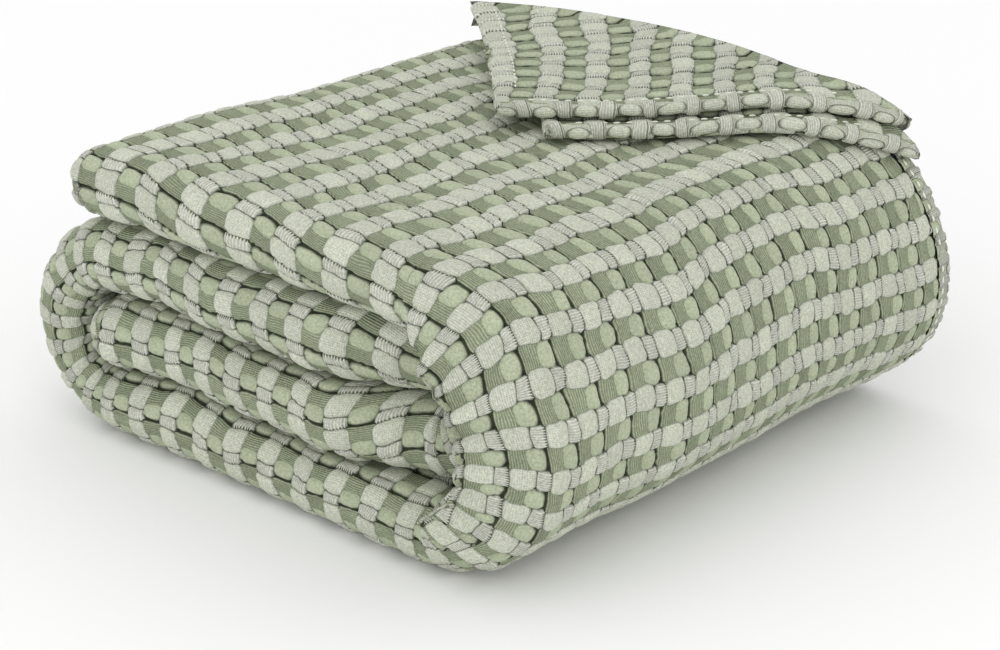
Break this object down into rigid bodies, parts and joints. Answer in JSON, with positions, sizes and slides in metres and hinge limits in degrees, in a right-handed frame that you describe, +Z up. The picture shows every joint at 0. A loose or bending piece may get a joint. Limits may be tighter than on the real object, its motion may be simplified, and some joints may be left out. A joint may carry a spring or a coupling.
{
  "type": "folded throw blanket",
  "caption": "Chunky waffle-weave cotton throw, quartered lengthwise and rolled crosswise into a low packet, with one hemmed corner turned back on top.",
  "frame": {"origin": "middle of the packet's footprint, on the surface that it rests on", "axes": "+Z up; +X towards the big front fold; +Y towards the open hem side, where the corner is turned back"},
  "size_m": [0.34, 0.312, 0.1634],
  "materials": {
    "waffle_cotton": "sage green cotton, raised waffle weave with pale ridges and deeper green hollows",
    "hem_cotton": "the same cloth turned twice and gathered by its seam",
    "sewing_thread": "matt cotton thread"
  },
  "bodies": {
    "packet": {"bottom_panel": "waffle_cotton", "front_fold": "waffle_cotton", "back_fold": "waffle_cotton", "upper_inner_panel": "waffle_cotton", "inner_fold": "waffle_cotton", "lower_inner_panel": "waffle_cotton", "inner_end_hem": "hem_cotton", "outer_long_hem": "hem_cotton", "second_long_hem": "hem_cotton", "long_hem_stitching": "sewing_thread"},
    "top_layer": {"top_panel": "waffle_cotton", "top_end_hem": "hem_cotton", "shoulder": "waffle_cotton", "shoulder_outer_hem": "hem_cotton", "shoulder_second_hem": "hem_cotton", "shoulder_stitching": "sewing_thread"},
    "corner_flap": {"flap_fold": "waffle_cotton", "flap_upper_ply": "waffle_cotton", "flap_upper_long_hem": "hem_cotton", "flap_upper_short_hem": "hem_cotton", "flap_upper_stitching": "sewing_thread", "flap_lower_ply": "waffle_cotton", "flap_lower_long_hem": "hem_cotton", "flap_lower_short_hem": "hem_cotton", "flap_lower_stitching": "sewing_thread"}
  },
  "joints": [
    {"name": "top_layer_lift", "type": "hinge", "parent": "packet", "child": "top_layer", "pos_m": [0.14339, 0, 0.13157], "axis": [0, 1, 0], "range_deg": [0, 100]},
    {"name": "corner_turn", "type": "hinge", "parent": "top_layer", "child": "corner_flap", "pos_m": [0, 0.148, 0.1564], "axis": [-1, 0, 0], "range_deg": [0, 170]}
  ]
}
